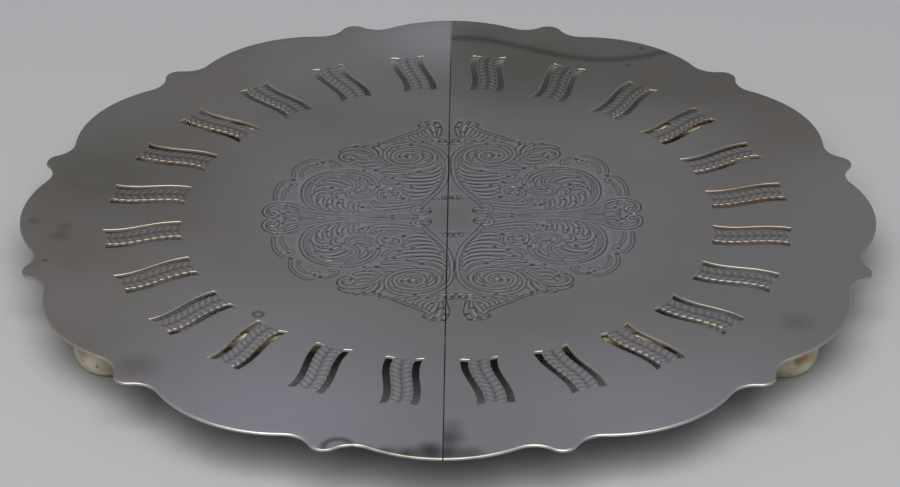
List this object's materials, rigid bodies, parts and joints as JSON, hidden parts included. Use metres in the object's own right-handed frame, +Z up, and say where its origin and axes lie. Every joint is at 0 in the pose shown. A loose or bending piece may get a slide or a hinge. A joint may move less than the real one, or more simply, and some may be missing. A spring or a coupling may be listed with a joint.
{
  "type": "expanding trivet",
  "caption": "Round pierced and engraved silver-plated trivet on bun feet, in two halves that draw apart on rods to carry a longer dish.",
  "frame": {"origin": "on the table, below the centre of the shut top", "axes": "+X from the left half to the right half, along which they draw apart; +Y to the rear; +Z up"},
  "size_m": [0.24, 0.24, 0.016],
  "materials": {
    "silver_plate": "polished silver plate on brass sheet, tarnished grey, engraved",
    "tube_brass": "drawn brass tube, dulled",
    "bush_brass": "turned brass, dulled",
    "rod_nickel_silver": "bright drawn nickel silver rod",
    "foot_casein": "turned cream casein, yellowed and stained",
    "screw_steel": "plain steel, dulled"
  },
  "bodies": {
    "left_half": {"left_plate": "silver_plate", "left_front_tube": "tube_brass", "left_front_mouth_bush": "bush_brass", "left_front_end_plug": "bush_brass", "left_front_foot": "foot_casein", "left_front_foot_boss": "bush_brass", "left_front_foot_screw": "screw_steel", "left_rear_tube": "tube_brass", "left_rear_mouth_bush": "bush_brass", "left_rear_end_plug": "bush_brass", "left_rear_foot": "foot_casein", "left_rear_foot_boss": "bush_brass", "left_rear_foot_screw": "screw_steel"},
    "right_half": {"right_plate": "silver_plate", "right_front_tube": "tube_brass", "right_front_mouth_bush": "bush_brass", "right_front_end_plug": "bush_brass", "right_front_foot": "foot_casein", "right_front_foot_boss": "bush_brass", "right_front_foot_screw": "screw_steel", "right_rear_tube": "tube_brass", "right_rear_mouth_bush": "bush_brass", "right_rear_end_plug": "bush_brass", "right_rear_foot": "foot_casein", "right_rear_foot_boss": "bush_brass", "right_rear_foot_screw": "screw_steel"},
    "front_rod": {"front_rod": "rod_nickel_silver", "front_rod_left_head": "rod_nickel_silver", "front_rod_right_head": "rod_nickel_silver"},
    "rear_rod": {"rear_rod": "rod_nickel_silver", "rear_rod_left_head": "rod_nickel_silver", "rear_rod_right_head": "rod_nickel_silver"}
  },
  "joints": [
    {"name": "right_slide", "type": "slide", "parent": "left_half", "child": "right_half", "axis": [1, 0, 0], "range_m": [0, 0.112]},
    {"name": "front_rod_slide", "type": "slide", "parent": "left_half", "child": "front_rod", "axis": [1, 0, 0], "range_m": [0, 0.056]},
    {"name": "rear_rod_slide", "type": "slide", "parent": "left_half", "child": "rear_rod", "axis": [1, 0, 0], "range_m": [0, 0.056]}
  ],
  "couplings": [
    {"joint": "front_rod_slide", "follows": "right_slide", "ratio": 0.5},
    {"joint": "rear_rod_slide", "follows": "right_slide", "ratio": 0.5}
  ]
}
